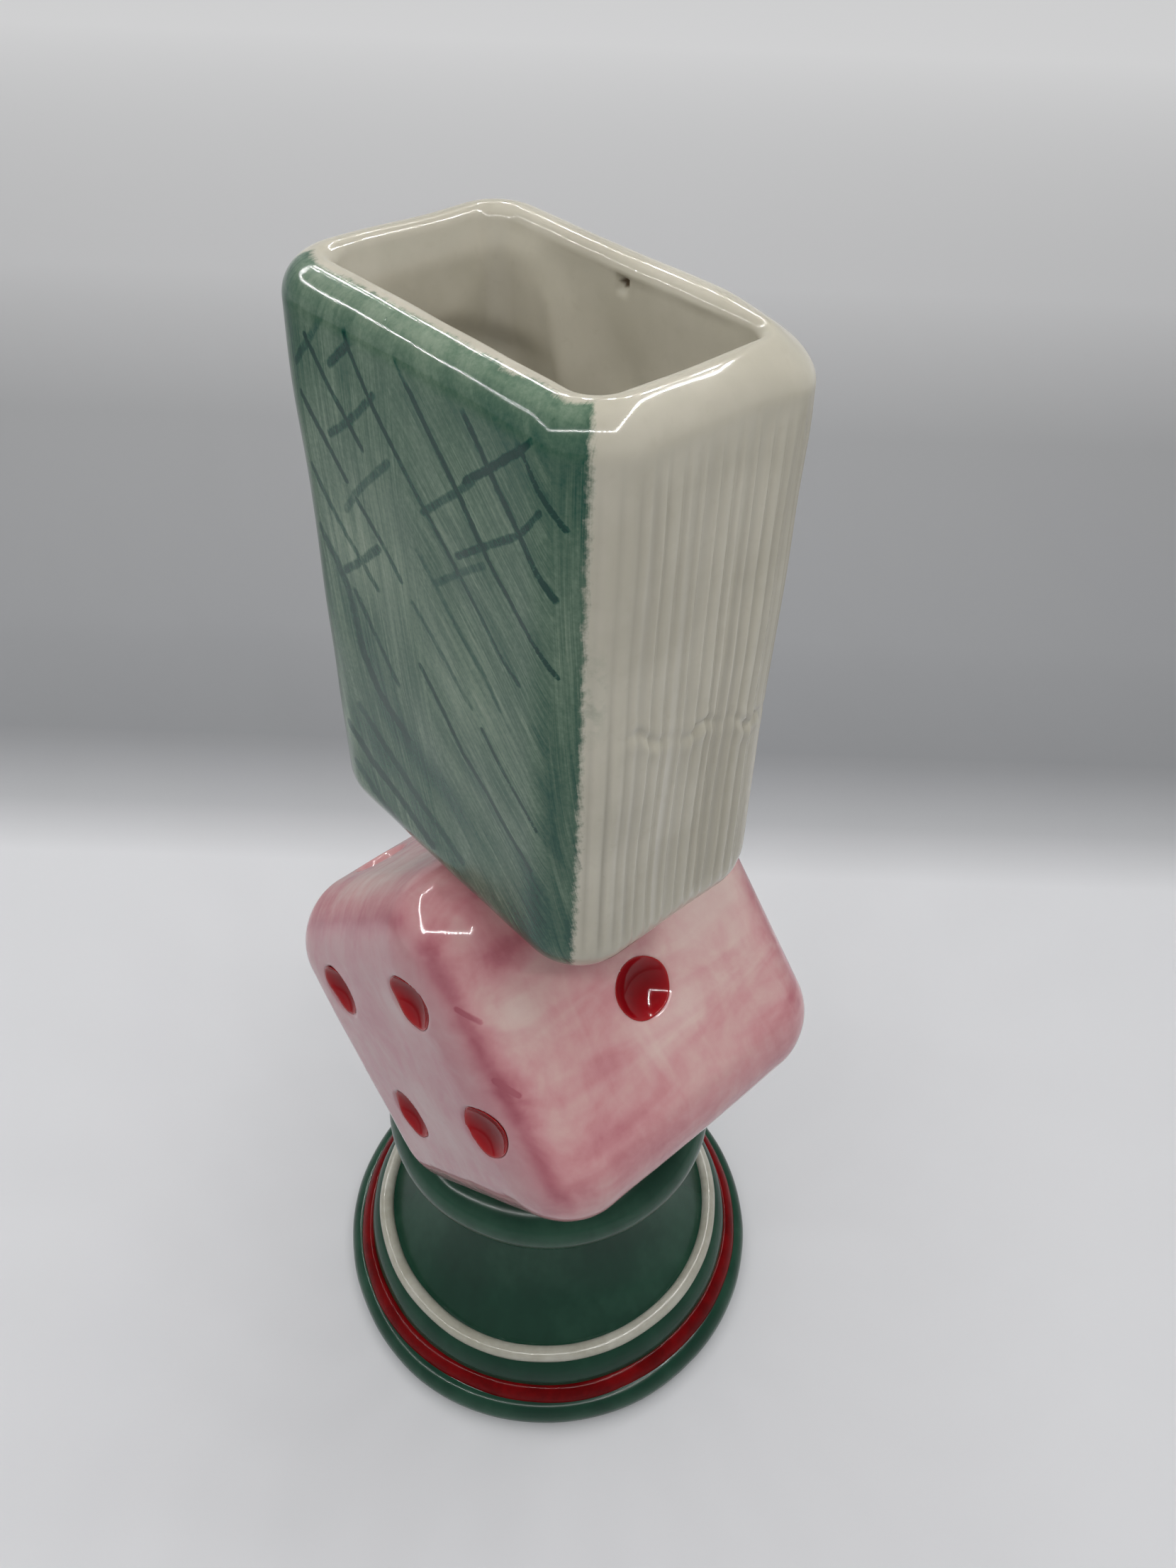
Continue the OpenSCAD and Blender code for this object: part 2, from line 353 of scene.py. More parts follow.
def lamp_frame(name, centre, half, count, power, size, shines):
    """Small lamps along the four sides of a level rectangle; they light the glaze or show in it, not both."""
    middle = Vector((*centre, LAMP_HEIGHT))
    corners = [middle + AWAY * a * half[0] + SIDEWAYS * b * half[1]
               for a, b in ((-1, -1), (-1, 1), (1, 1), (1, -1))]
    data = bpy.data.lights.new(name, "AREA")
    data.size = size
    data.energy = power
    data.color = LIGHT_TONE
    for side in range(4):
        start, end = corners[side], corners[(side + 1) % 4]
        for step in range(count):
            made = bpy.data.objects.new(name, data)
            made.location = start.lerp(end, step / count)
            made.visible_camera = False
            made.visible_glossy = shines
            made.visible_diffuse = not shines
            bpy.context.scene.collection.objects.link(made)


def make_lights():
    """Soft light from overhead, a frame of beads that shows in the glaze, and a surround paler low down."""
    lamp_frame("soft_lamp", **SOFT)
    lamp_frame("bead_lamp", **BEADS)
    world = bpy.data.worlds.new("surround")
    world.use_nodes = True
    tree = world.node_tree
    place = tree.nodes.new("ShaderNodeTexCoord")
    split = tree.nodes.new("ShaderNodeSeparateXYZ")
    tone = tree.nodes.new("ShaderNodeValToRGB")
    tree.links.new(place.outputs["Generated"], split.inputs[0])
    tree.links.new(split.outputs["Z"], tone.inputs["Fac"])
    tree.links.new(tone.outputs["Color"], tree.nodes["Background"].inputs["Color"])
    tone.color_ramp.elements[0].color = (0.97, 0.985, 1.0, 1)
    tone.color_ramp.elements[0].position = 0.1
    tone.color_ramp.elements[1].color = (0.30, 0.305, 0.31, 1)
    tone.color_ramp.elements[1].position = 0.85
    tree.nodes["Background"].inputs["Strength"].default_value = SKY_STRENGTH
    bpy.context.scene.world = world
    bpy.context.scene.view_settings.view_transform = "Standard"


# ---------------- deck of cards: shape

FACE_STEP = 0.6      # spacing of the points across the broad faces and up the walls
SIDE_STEP = 0.4      # and across the narrow sides, where the card edges need more
CORNER_COLUMNS = 26
CENTRE_ROWS = 12
ROUND_ROWS = 14
FILLET_ROWS = 9
WELL_ROWS = 72
INSIDE_ROWS = WELL_ROWS + FILLET_ROWS + CENTRE_ROWS - 1   # from the rim's inner edge to the floor
POLE_SHARE = 0.08    # size of the smallest ring round the middle of the underside and of the floor
LEAST_R = 3.0        # corners keep this radius where the outline shrinks under the foot


def deck_columns():
    """Columns round the deck from the front left: anchor on the inner rectangle and outward direction."""
    face_count = int(2 * (DECK_HALF_X - CORNER_R) / FACE_STEP)
    side_count = int(2 * (DECK_HALF_Y - CORNER_R) / SIDE_STEP)
    across = np.arange(face_count) / face_count * 2 - 1
    deep = np.arange(side_count) / side_count * 2 - 1
    bend = np.arange(CORNER_COLUMNS) / CORNER_COLUMNS * math.pi / 2
    anchor, facing = [], []

    def side(at_x, at_y, out_x, out_y):
        count = max(np.size(at_x), np.size(at_y))
        anchor.append(np.stack([np.broadcast_to(at_x, count), np.broadcast_to(at_y, count)], -1))
        facing.append(np.tile([out_x, out_y], (count, 1)))

    def corner(at_x, at_y, start):
        anchor.append(np.tile([at_x, at_y], (CORNER_COLUMNS, 1)))
        facing.append(np.stack([np.cos(start + bend), np.sin(start + bend)], -1))

    side(across, -1.0, 0.0, -1.0)
    corner(1.0, -1.0, -math.pi / 2)
    side(1.0, deep, 1.0, 0.0)
    corner(1.0, 1.0, 0.0)
    side(-across, 1.0, 0.0, 1.0)
    corner(-1.0, 1.0, math.pi / 2)
    side(-1.0, -deep, -1.0, 0.0)
    corner(-1.0, -1.0, math.pi)
    return np.concatenate(anchor), np.concatenate(facing)


def quarter(steps):
    """Sine and cosine at each step of a quarter turn, without its start."""
    turn = np.arange(1, steps + 1) / steps * math.pi / 2
    return [(math.sin(a), math.cos(a)) for a in turn]


def deck_rows():
    """Rows from the middle of the underside, up the wall, over the rim and down the inside:
    inset from the outer wall, height, share of the ring's full size, and smallest corner radius."""
    foot = FOOT_R
    shoulder = DECK_H - RIM_OUT
    rows = [(foot, 0.0, share, LEAST_R) for share in np.linspace(POLE_SHARE, 1, CENTRE_ROWS)]
    rows += [(foot * (1 - sine), foot * (1 - cosine), 1, LEAST_R) for sine, cosine in quarter(ROUND_ROWS)]
    wall_rows = int((shoulder - foot) / FACE_STEP)
    rows += [(0.0, z, 1, LEAST_R) for z in np.linspace(foot, shoulder, wall_rows)[1:]]
    rows += [(RIM_OUT * (1 - cosine), shoulder + RIM_OUT * sine, 1, CAVITY_R)
             for sine, cosine in quarter(ROUND_ROWS)]
    rows += [(RIM_OUT + RIM_IN * sine, DECK_H - RIM_IN * (1 - cosine), 1, CAVITY_R)
             for sine, cosine in quarter(FILLET_ROWS)]
    wall = RIM_OUT + RIM_IN
    low = FLOOR_Z + FLOOR_FILLET
    floor_r = CAVITY_R - 1.5
    rows += [(wall, z, 1, CAVITY_R) for z in np.linspace(DECK_H - RIM_IN, low, WELL_ROWS)[1:]]
    rows += [(wall + FLOOR_FILLET * (1 - cosine), low - FLOOR_FILLET * sine, 1, floor_r)
             for sine, cosine in quarter(FILLET_ROWS)]
    rows += [(wall + FLOOR_FILLET, FLOOR_Z, share, floor_r)
             for share in np.linspace(1, POLE_SHARE, CENTRE_ROWS)[1:]]
    return np.array(rows)


RIDGE_PITCH = 2.75
SEAM_Z = 56.4


def card_ridges(across, height):
    """How far the card edges stand in or out at a place on a narrow side, in mm."""
    warped = across + 0.35 * np.sin(across * 1.7 + 1) + 0.12 * np.sin(height / 17 + across)
    lines = -0.5 * np.cos(warped * 2 * math.pi / RIDGE_PITCH)
    strong = 0.42 + 0.45 * bump(across, -20, 9) * smooth_step(85, 40, height)
    strong += 0.36 * bump(across, 9, 9) * smooth_step(108, 80, height)
    strong += 0.20 * bump(across, -14, 6) * smooth_step(60, 110, height)
    ends = smooth_step(6, 13, height) * smooth_step(DECK_H - 4, DECK_H - 16, height)
    edge = smooth_step(DECK_HALF_Y - 1.5, DECK_HALF_Y - 6, np.abs(across))
    return lines * strong * ends * edge


def casting_seam(across, height):
    """The mould line that dips across one narrow side."""
    line = SEAM_Z - 0.35 * across + 1.1 * np.sin(across / 3.2) + 0.8 * np.sin(across / 1.3)
    present = smooth_step(-21, -14, across) * (0.6 + 0.4 * np.sin(across / 2.1 + 1))
    return present * (-0.55 * bump(height, line, 1.1) + 0.34 * bump(height, line - 2.4, 1.9)
                      + 0.2 * bump(height, line + 2.2, 1.6))


def inner_waves(point):
    """Soft unevenness of the casting inside the well, positive towards the middle."""
    x, y, z = point[..., 0], point[..., 1], point[..., 2]
    under = DECK_H - z
    ledge = 19 + 5 * smooth_step(5, 22, y) - 3 * smooth_step(0, -16, y)
    left = smooth_step(-14, -27, x)
    waves = 2.0 * left * (smooth_step(ledge + 3, ledge - 4, under) * smooth_step(0, 7, under) - 0.35)
    back = smooth_step(6, 16, y)
    fold = bump(x, -20 + under * 0.25, 4) * smooth_step(4, 14, under) * smooth_step(48, 24, under)
    waves += 1.3 * back * fold
    waves -= 0.7 * back * bump(x, -8 + under * 0.55, 6) * smooth_step(8, 20, under)
    waves += 0.5 * smooth_step(18, 30, x) * np.sin(under / 5.5 + y / 9) * smooth_step(2, 12, under)
    return waves + 0.25 * wobble(point, 26, 4)


PIT_AT = np.array([-0.2, 18.0, 115.6])   # a pit in the well's back wall, just under the rim
PIT_DEPTH = 2.0
DROOP_AT = np.array([41.5, 27.0])        # the rim's back right corner, which sagged in firing
DROOP = 2.6
HEADROOM = 0.28                          # keeps the uneven rim under the deck's true top


def deck_rings(inset, height, share, smallest):
    """The true box without any unevenness, as rings of points, and each column's outward direction."""
    anchor, facing = deck_columns()
    radius = np.maximum(CORNER_R - inset, smallest)
    x = (anchor[:, 0] * (DECK_HALF_X - inset - radius) + facing[:, 0] * radius) * share
    y = (anchor[:, 1] * (DECK_HALF_Y - inset - radius) + facing[:, 1] * radius) * share
    return np.stack([x, y, np.broadcast_to(height, x.shape)], -1), facing


def outer_swell(point, facing, inset):
    """How far the outside stands proud of the true box, and the card edges' share of that."""
    x, y, z = point[..., 0], point[..., 1], point[..., 2]
    narrow = smooth_step(0.35, 0.9, np.abs(facing[:, 0]))
    ridges = narrow * card_ridges(y, z) * (inset < 2)
    swell = 0.28 * wobble(point, 60, 1) + 0.08 * wobble(point, 17, 2) + ridges
    swell += (facing[:, 0] > 0) * narrow * casting_seam(y, z) * (inset < 2)
    broad = smooth_step(0.8, 1.0, np.abs(facing[:, 1])) * smooth_step(38, 12, np.abs(x))
    return swell - 0.35 * broad * bump(z, 62, 42), ridges


def gap_to_pit(point, facing):
    """Distance from the middle of the pit, which is on the back wall only."""
    other_wall = facing[:, 1] < 0.5
    return np.linalg.norm((point - PIT_AT) * [1, 0, 1.5], axis=-1) + 30 * other_wall


def rim_dip(point, inset):
    """How far the rim rises or sinks: slightly uneven all round, and drooping at one corner."""
    z = point[..., 2]
    dip = 0.3 * wobble(point, 34, 6) * smooth_step(DECK_H - 9, DECK_H - 1, z)
    corner_gap = np.linalg.norm(point[..., :2] - DROOP_AT, axis=-1)
    sag = smooth_step(26, 4, corner_gap) * smooth_step(DECK_H - 14, DECK_H - 1, z)
    return dip - DROOP * sag * smooth_step(9.5, 3, inset)


def deck_shape():
    """The cast deck's points, and what its shader's fields are worked out from."""
    rows = deck_rows()
    inset, height, share, smallest = (rows[:, i][:, None] for i in range(4))
    point, facing = deck_rings(inset, height, share, smallest)
    z = point[..., 2]
    inside = (np.arange(len(rows)) >= len(rows) - INSIDE_ROWS)[:, None]
    swell, ridges = outer_swell(point, facing, inset)
    swell = swell * smooth_step(0, 4, z) * (share == 1)
    well = -inner_waves(point) * smooth_step(DECK_H, DECK_H - 6, z) * smooth_step(9, 20, z)
    gap = gap_to_pit(point, facing)
    well += PIT_DEPTH * smooth_step(1.7, 0.7, gap)
    dip = rim_dip(point, inset)
    point[..., :2] += facing * np.where(inside, well, swell)[..., None]
    point[..., 2] += dip - HEADROOM
    return point, facing, np.broadcast_to(inset, z.shape), gap, ridges


# ---------------- deck of cards: paint

# Brush lines on the painted face: points as (across from the face's middle, height above the deck's
# underside) in mm, then the line's width in mm and its strength.
FALLING_LINES = [
    ([(-17.5, 120), (-12, 110), (-7.5, 104), (-2, 98)], 1.1, 0.85),
    ([(-2, 98), (12, 84), (22, 73.5), (27, 70.5)], 1.2, 0.4),
    ([(-3.5, 118), (2, 111), (8, 104.5), (14, 98), (18, 93)], 1.3, 1.0),
    ([(18, 93), (22, 88.5), (28, 83), (37, 76)], 1.1, 0.75),
    ([(11, 118.5), (15.5, 112), (20.5, 106.5), (27, 99.5), (32, 94), (36.5, 90.5)], 1.4, 1.0),
    ([(24, 116.5), (28, 112.5), (32.5, 107.5), (38.5, 102.5)], 1.1, 0.75),
    ([(-25.5, 110), (-20, 103.5), (-12, 95.5)], 1.2, 0.6),
    ([(-29, 99), (-24.5, 94), (-18.5, 87)], 1.3, 0.75),
    ([(-16, 84.5), (-9.5, 78.5), (-5, 73.5)], 1.3, 0.5),
    ([(-29.5, 85.5), (-25.5, 80), (-21.5, 75.5), (-13, 67.5)], 1.5, 0.4),
    ([(-30.5, 72), (-26, 67.5), (-23, 62.5), (-22, 57.5), (-20.5, 49.5), (-16, 42), (-8, 36)], 2.4, 0.4),
    ([(-20.5, 63), (-15, 55.5), (-9, 48.5)], 1.6, 0.35),
    ([(-2, 70.5), (3.5, 66), (9, 61.5), (14, 57.5)], 1.3, 0.3),
    ([(17, 54.5), (22, 49.5), (26, 46), (32.5, 40.5)], 1.0, 0.65),
    ([(-1, 57.5), (6, 50.5), (11, 44.5), (18, 39.5), (23, 34.5), (30, 29)], 1.3, 0.5),
    ([(1, 82.5), (10, 73), (18, 66.5), (22, 62)], 1.3, 0.25),
    ([(-30, 25), (-22, 19.5), (-12, 15.5), (-2, 10.5)], 2.6, 0.5),
    ([(-24, 33), (-14, 26), (-4, 20), (8, 14)], 2.4, 0.28),
    ([(-29, 15), (-21, 10), (-12, 6)], 2.4, 0.3),
]
RISING_LINES = [
    ([(15, 101.5), (22, 107), (28, 112), (35, 118)], 1.3, 1.0),
    ([(12, 87), (18, 91.5), (27, 98), (33, 104)], 1.2, 0.45),
    ([(-21.5, 94.5), (-18, 97), (-13, 101), (-7.5, 106.5)], 1.4, 0.35),
    ([(-20, 80.5), (-16, 85.5), (-12, 89.5), (-5, 96)], 1.4, 0.28),
    ([(-23, 66.5), (-17, 71.5), (-11, 77)], 1.6, 0.42),
    ([(3.5, 91), (12, 98), (17, 102.5)], 1.3, 0.35),
    ([(-19, 107.5), (-9, 116.5)], 1.4, 0.4),
    ([(-30, 104), (-24, 110), (-20, 115)], 1.4, 0.25),
    ([(5, 78), (13, 84.5), (19, 89)], 1.3, 0.22),
]
# Pools where the wash dried thicker or thinner: middle, half-lengths along and across, tilt, amount.
POOLS = [
    ((-5, 33), (17, 4.5), -24, 0.34), ((-22, 26), (15, 4), -30, 0.22), ((-14, 46), (11, 5), -52, 0.2),
    ((-24, 14), (14, 4), -26, 0.2), ((14, 41), (13, 4.5), -42, 0.1), ((31, 22), (10, 3.5), -78, 0.34),
    ((36, 44), (24, 3), -86, 0.2), ((0, 108), (42, 5.0), 0, 0.04), ((-30, 105), (14, 3), -86, 0.2),
    ((-31, 22), (16, 3.5), -86, -0.16), ((-20, 73), (10, 8), 0, -0.2), ((3, 12), (9, 4), -20, 0.12),
    ((17, 56), (15, 9), -45, -0.12), ((-8, 80), (7, 14), 8, -0.08), ((30, 112), (12, 5), -20, 0.12),
    ((31, 9), (9, 12), 0, 0.26), ((-8, 22), (22, 5), -38, 0.14), ((24, 80), (10, 26), 0, 0.08),
]


WASH = 0.44            # how thickly the wash lies away from the pools
LINE_WIDTH = 0.85      # what the brush lines' widths and strengths are multiplied by
LINE_STRENGTH = 1.5
GREEN_TURN = 47        # degrees round a front corner at which the green stops
GREEN_OVER_RIM = 5.4   # how far it reaches over the rim
GREEN_FOOT = 1.6       # height at which it starts


def gap_to_lines(across, height, lines):
    """Distance in line widths to the nearest brush line, and that line's strength."""
    nearest = np.full(across.shape, OUT_OF_REACH)
    strength = np.zeros(across.shape)
    starts = smooth_step(114.5, 111.5, height + 1.2 * np.sin(across))
    for points, width, weight in lines:
        for (ax, az), (bx, bz) in zip(points[:-1], points[1:]):
            length = (bx - ax) ** 2 + (bz - az) ** 2
            t = np.clip(((across - ax) * (bx - ax) + (height - az) * (bz - az)) / length, 0, 1)
            gap = np.hypot(across - ax - t * (bx - ax), height - az - t * (bz - az)) / (width * LINE_WIDTH)
            closer = gap < nearest
            nearest = np.where(closer, gap, nearest)
            strength = np.where(closer, min(weight * LINE_STRENGTH, 1.0), strength)
    return nearest, strength * starts


def wash_pools(across, height):
    total = np.full(across.shape, WASH)
    for (cx, cz), (along, wide), tilt, amount in POOLS:
        a = math.radians(tilt)
        u = (across - cx) * math.cos(a) + (height - cz) * math.sin(a)
        v = -(across - cx) * math.sin(a) + (height - cz) * math.cos(a)
        total += amount * np.exp(-((u / along) ** 2) - (v / wide) ** 2)
    return total


def green_reach(point, facing, turn, inset):
    """How far each point lies inside the green's edge, or outside it where that is negative."""
    z = point[..., 2]
    round_corner = np.radians(GREEN_TURN - 3 * smooth_step(40, 0, z) - turn) * CORNER_R
    over_rim = GREEN_OVER_RIM + 0.5 * wobble(point, 9, 11) - inset
    reach = np.where(z > DECK_H / 2, over_rim, OUT_OF_REACH)
    reach = np.minimum(np.minimum(round_corner, z - GREEN_FOOT), reach)
    return np.clip(np.where(facing[:, 1] < 0, reach, -OUT_OF_REACH), -OUT_OF_REACH, OUT_OF_REACH)


def deck_fields(point, facing, inset):
    """What the deck's shader needs to know about each point."""
    x, z = point[..., 0], point[..., 2]
    turn = np.degrees(np.arctan2(np.abs(facing[:, 0]), -facing[:, 1]))
    unrolled = x + 0.5 + np.sign(x) * np.radians(turn) * CORNER_R * 0.35
    smear = bump(z, 73, 7) * smooth_step(66, 54, turn) * (x > 0) * (facing[:, 1] < 0)
    falling, falling_strength = gap_to_lines(unrolled, z, FALLING_LINES)
    rising, rising_strength = gap_to_lines(unrolled, z, RISING_LINES)
    sweep = np.clip(DECK_H - z, 0, 130)
    bent = unrolled - 15 * (sweep / 110) ** 2.6
    slanted = (unrolled + (z - DECK_H)) * math.sqrt(0.5)
    along = (unrolled - (z - DECK_H)) * math.sqrt(0.5)
    share = smooth_step(-6, 10, unrolled + (z - 60) * 0.06) * smooth_step(38, 33, unrolled)
    return {
        "painted": green_reach(point, facing, turn, inset).ravel(),
        "pool": np.clip(wash_pools(unrolled, z) - 0.26 * smooth_step(0.3, 3.5, inset), 0, 1).ravel(),
        "smear": smear.ravel(),
        "brushed": (1 - 0.75 * smooth_step(109, 115, z)).ravel(),
        "falling": np.minimum(falling, 4).ravel(),
        "falling_strength": falling_strength.ravel(),
        "rising": np.minimum(rising, 4).ravel(),
        "rising_strength": rising_strength.ravel(),
        "upright_strokes": np.stack([bent, z, np.zeros_like(z)], -1).reshape(-1, 3),
        "slanted_strokes": np.stack([slanted, along, np.zeros_like(z)], -1).reshape(-1, 3),
        "slanted_share": share.ravel(),
    }


CREAM = (0.528, 0.498, 0.414)
CREAM_POOLED = (0.458, 0.430, 0.350)
CREAM_SPECK = (0.41, 0.37, 0.29)
CREAM_HOLE = (0.36, 0.31, 0.24)
CREAM_GROOVE = (0.33, 0.31, 0.255)
PIT_BROWN = (0.10, 0.07, 0.045)
GREEN_WASH = [
    (0.0, (0.25, 0.315, 0.235)), (0.3, (0.125, 0.190, 0.132)), (0.52, (0.058, 0.116, 0.076)),
    (0.75, (0.012, 0.066, 0.044)), (1.0, (0.0, 0.034, 0.024)),
]


def cream_parts(s, place):
    """Cream glaze: warm where it pools, with faint clouds and pinholes. Returns colour and height."""
    clouds = s.noise(place, 45, 4, 0.55)
    fine = s.noise(place, 420, 3, 0.5)
    colour = s.mix(s.span(clouds, 0.35, 0.68), CREAM_POOLED, CREAM)
    colour = s.mix(s.times(s.span(fine, 0.55, 0.75), 0.18), colour, CREAM_SPECK)
    holes = s.span(s.cells(place, 150), 0.035, 0.06)
    sparse = s.span(s.noise(place, 60, 1), 0.56, 0.60)
    pinhole = s.times(s.less(1.0, holes), sparse)
    colour = s.mix(s.times(pinhole, 0.55), colour, CREAM_HOLE)
    height = s.less(s.add(clouds, s.times(fine, 0.22)), s.times(pinhole, 0.6))
    return colour, height


def brushed_noise(s, upright, slanted, detail, rough):
    """Noise drawn out along the brush, upright on the left and slanted on the right of the face.
    Each direction is its scale across the strokes, its scale along them, and its distortion."""
    parts = []
    for name, (across, along, distortion) in (("upright_strokes", upright), ("slanted_strokes", slanted)):
        place = s.mapped(s.field(name, True), (across, along, 1))
        parts.append(s.noise(place, 1.0, detail, rough, distortion))
    return s.blend(s.field("slanted_share"), *parts)


def brush_line(s, place, name, grain):
    """How strongly the falling or the rising lines show, dry where the grain is thin."""
    gap = s.add(s.field(name), s.swing(s.noise(place, 500, 2, 0.6), 0.5))
    core = s.times(s.span(gap, 0.8, 0.35), s.field(name + "_strength"))
    return s.times(core, s.span(grain, 0.0, 1.0, 0.55, 1.0))


def wash_depth(s, place, hairs, clouds, rim_line):
    """How thickly the green lies, from 0 to 1: pools, brush hairs, lines and a darker edge on the rim."""
    thick = brushed_noise(s, (0.95, 0.03, 0.2), (0.9, 0.05, 0.3), 3, 0.6)
    broad = brushed_noise(s, (0.3, 0.03, 0.3), (0.28, 0.05, 0.4), 2, 0.5)
    strokes = s.add(s.swing(hairs, 0.72), s.swing(thick, 0.5))
    depth = s.add(s.field("pool"), s.times(strokes, s.field("brushed")))
    depth = s.add(depth, s.swing(broad, 0.55))
    depth = s.add(depth, s.swing(clouds, 0.32))
    depth = s.add(depth, s.swing(s.noise(place, 1100, 2, 0.7), 0.34))
    slanted = s.mapped(s.field("slanted_strokes", True), (1.4, 0.5, 1))
    grain = s.span(s.noise(slanted, 1.0, 3, 0.7), 0.32, 0.6)
    lines = [brush_line(s, place, name, grain) for name in ("falling", "rising")]
    depth = s.add(depth, s.times(s.maths("MAXIMUM", *lines), 0.8))
    return s.limit(s.add(depth, s.times(rim_line, 0.10)))


def deck_material():
    s = Shader("painted_deck_glaze")
    place = s.place()
    cream, cream_height = cream_parts(s, place)
    hairs = brushed_noise(s, (2.6, 0.045, 0.15), (2.4, 0.06, 0.2), 4, 0.62)
    clouds = s.noise(place, 38, 3, 0.5, 0.5)
    ragged = s.add(s.field("painted"), s.swing(s.noise(place, 600, 3, 0.7), 2.6))
    ragged = s.add(ragged, s.swing(hairs, 1.3))
    smear = s.times(s.field("smear"), s.span(s.noise(place, 300, 3, 0.6), 0.4, 0.62, 0.08, 0.4))
    cover = s.maths("MAXIMUM", s.span(ragged, -0.5, 1.1), smear)
    rim_line = s.times(s.span(ragged, 0.2, 0.9), s.span(ragged, 2.4, 1.0))
    green = s.ramp(wash_depth(s, place, hairs, clouds, rim_line), GREEN_WASH)
    cream = s.mix(s.times(s.field("groove"), 0.5), cream, CREAM_GROOVE)
    colour = s.mix(cover, cream, green)
    colour = s.mix(s.span(s.field("pit"), 1.7, 0.9), colour, PIT_BROWN)
    brushed = s.times(s.times(hairs, cover), s.field("brushed"))
    height = s.add(cream_height, s.times(brushed, 0.5))
    return s.finish(colour, s.span(clouds, 0.3, 0.7, 0.075, 0.115), height, 0.06, 1.42)


def make_deck():
    point, facing, inset, gap, ridges = deck_shape()
    fields = deck_fields(point, facing, inset)
    fields["pit"] = np.minimum(gap, 20).ravel()
    fields["groove"] = np.clip(-ridges * 3, 0, 1).ravel()
    rows, columns = point.shape[:2]
    bottom, top = point[0].mean(0), point[-1].mean(0)
    vertices = np.concatenate([[bottom], point.reshape(-1, 3), [top]]) + [DECK_X, DECK_Y, DECK_BASE]
    padded = {}
    for key, values in fields.items():
        ends = np.zeros((1,) + values.shape[1:]) + (-OUT_OF_REACH if key == "painted" else OUT_OF_REACH)
        padded[key] = np.concatenate([ends, values, ends])
    deck = make_object("deck", vertices, loft_faces(rows, columns, True, True), padded)
    deck.data.materials.append(deck_material())
    place(deck, "deck_glaze", "deck_box")


# ---------------- die


def die_to_world(local):
    cosine, sine = math.cos(DIE_ROLL), math.sin(DIE_ROLL)
    x, y, z = local[..., 0], local[..., 1], local[..., 2]
    return np.stack([x * cosine - z * sine, y, x * sine + z * cosine], -1) + DIE_CENTRE


def pip_places():
    """Each face's number: outward direction, two directions along the face, and pips as (u, v)."""
    half = PIP_HALF
    x, y, z = np.eye(3)
    return {
        1: (x, y, z, [LONE_SPOT]),
        2: (z, x, y, [(-half - PIP_DROP, -half), (half - PIP_DROP, half)]),
        3: (y, x, z, [(k * half, -k * half) for k in (-1, 0, 1)]),
        4: (-y, x, z, FOUR_SPOTS),
        5: (-z, x, y, [(0, 0)] + [(a * half, b * half) for a in (-1, 1) for b in (-1, 1)]),
        6: (-x, y, z, [(a * half, b * half) for a in (-1, 0, 1) for b in (-1, 1)]),
    }


def pip_mouth(number):
    return LONE_PIP_R if number == 1 else PIP_R


def pip_depth_at(gap, mouth):
    """Depth of a pip's bowl at a distance from its middle, rounded where it meets the face."""
    ball = (mouth ** 2 + PIP_DEPTH ** 2) / (2 * PIP_DEPTH)
    bowl = np.sqrt(np.maximum(ball ** 2 - gap ** 2, 0)) - (ball - PIP_DEPTH)
    bowl = bowl - 3 * np.maximum(gap - ball * 0.98, 0)
    return (bowl + np.sqrt(bowl ** 2 + PIP_SOFT ** 2)) / 2


DIE_STEPS = 128


def die_shape():
    """Plain rounded block in the die's own frame: points, the way each one faces, and faces."""
    line = np.linspace(-1, 1, DIE_STEPS + 1)
    u, v = np.meshgrid(line, line, indexing="ij")
    sheets, faces, count = [], [], 0
    order = np.arange((DIE_STEPS + 1) ** 2).reshape(DIE_STEPS + 1, -1)
    quad = np.stack([order[:-1, :-1], order[1:, :-1], order[1:, 1:], order[:-1, 1:]], -1).reshape(-1, 4)
    for axis in range(3):
        for sign in (-1, 1):
            cube = np.zeros(u.shape + (3,))
            cube[..., axis] = sign
            cube[..., (axis + 1) % 3] = u
            cube[..., (axis + 2) % 3] = v
            sheets.append((cube * DIE_HALF).reshape(-1, 3))
            faces.append(quad + count)
            count += len(sheets[-1])
    point = np.concatenate(sheets)
    faces = np.concatenate(faces)
    _, first, back = np.unique(np.round(point, 4), axis=0, return_index=True, return_inverse=True)
    point, faces = point[first], back.ravel()[faces]
    core = DIE_HALF - DIE_EDGE
    inner = np.clip(point, -core, core)
    way = point - inner
    way /= np.maximum(np.linalg.norm(way, axis=1, keepdims=True), 1e-9)
    point = inner + way * DIE_EDGE
    return point, way, faces


def edge_fall(across, half):
    """How far the block's rounded edge has fallen away at a distance from the middle of a face."""
    over = np.maximum(np.abs(across) - (half - DIE_EDGE), 0)
    return DIE_EDGE - np.sqrt(np.maximum(DIE_EDGE ** 2 - over ** 2, 0))


def die_skin(point):
    """How far the casting stands proud of the true block: slightly pillowed faces, a little uneven."""
    share = np.sort(np.abs(point / DIE_HALF), axis=1)[:, :2]
    pillow = DIE_PILLOW * np.prod(1 - share ** 2, axis=1)
    return pillow + 0.22 * wobble(point, 55, 21) + 0.06 * wobble(point, 14, 22)


def press_pips(point):
    """Presses the pips into the die's faces, and says how deep each point went; the two shows no red."""
    low = np.zeros(len(point))
    for number, (out, u, v, spots) in pip_places().items():
        near = point @ out > np.abs(DIE_HALF @ out) - 4
        for a, b in spots:
            gap = np.hypot(point @ u - a, point @ v - b)
            depth = np.where(near & (gap < 11), pip_depth_at(gap, pip_mouth(number)), 0)
            point = point - depth[:, None] * out
            low = np.maximum(low, depth * (number != 2))
    return point, low


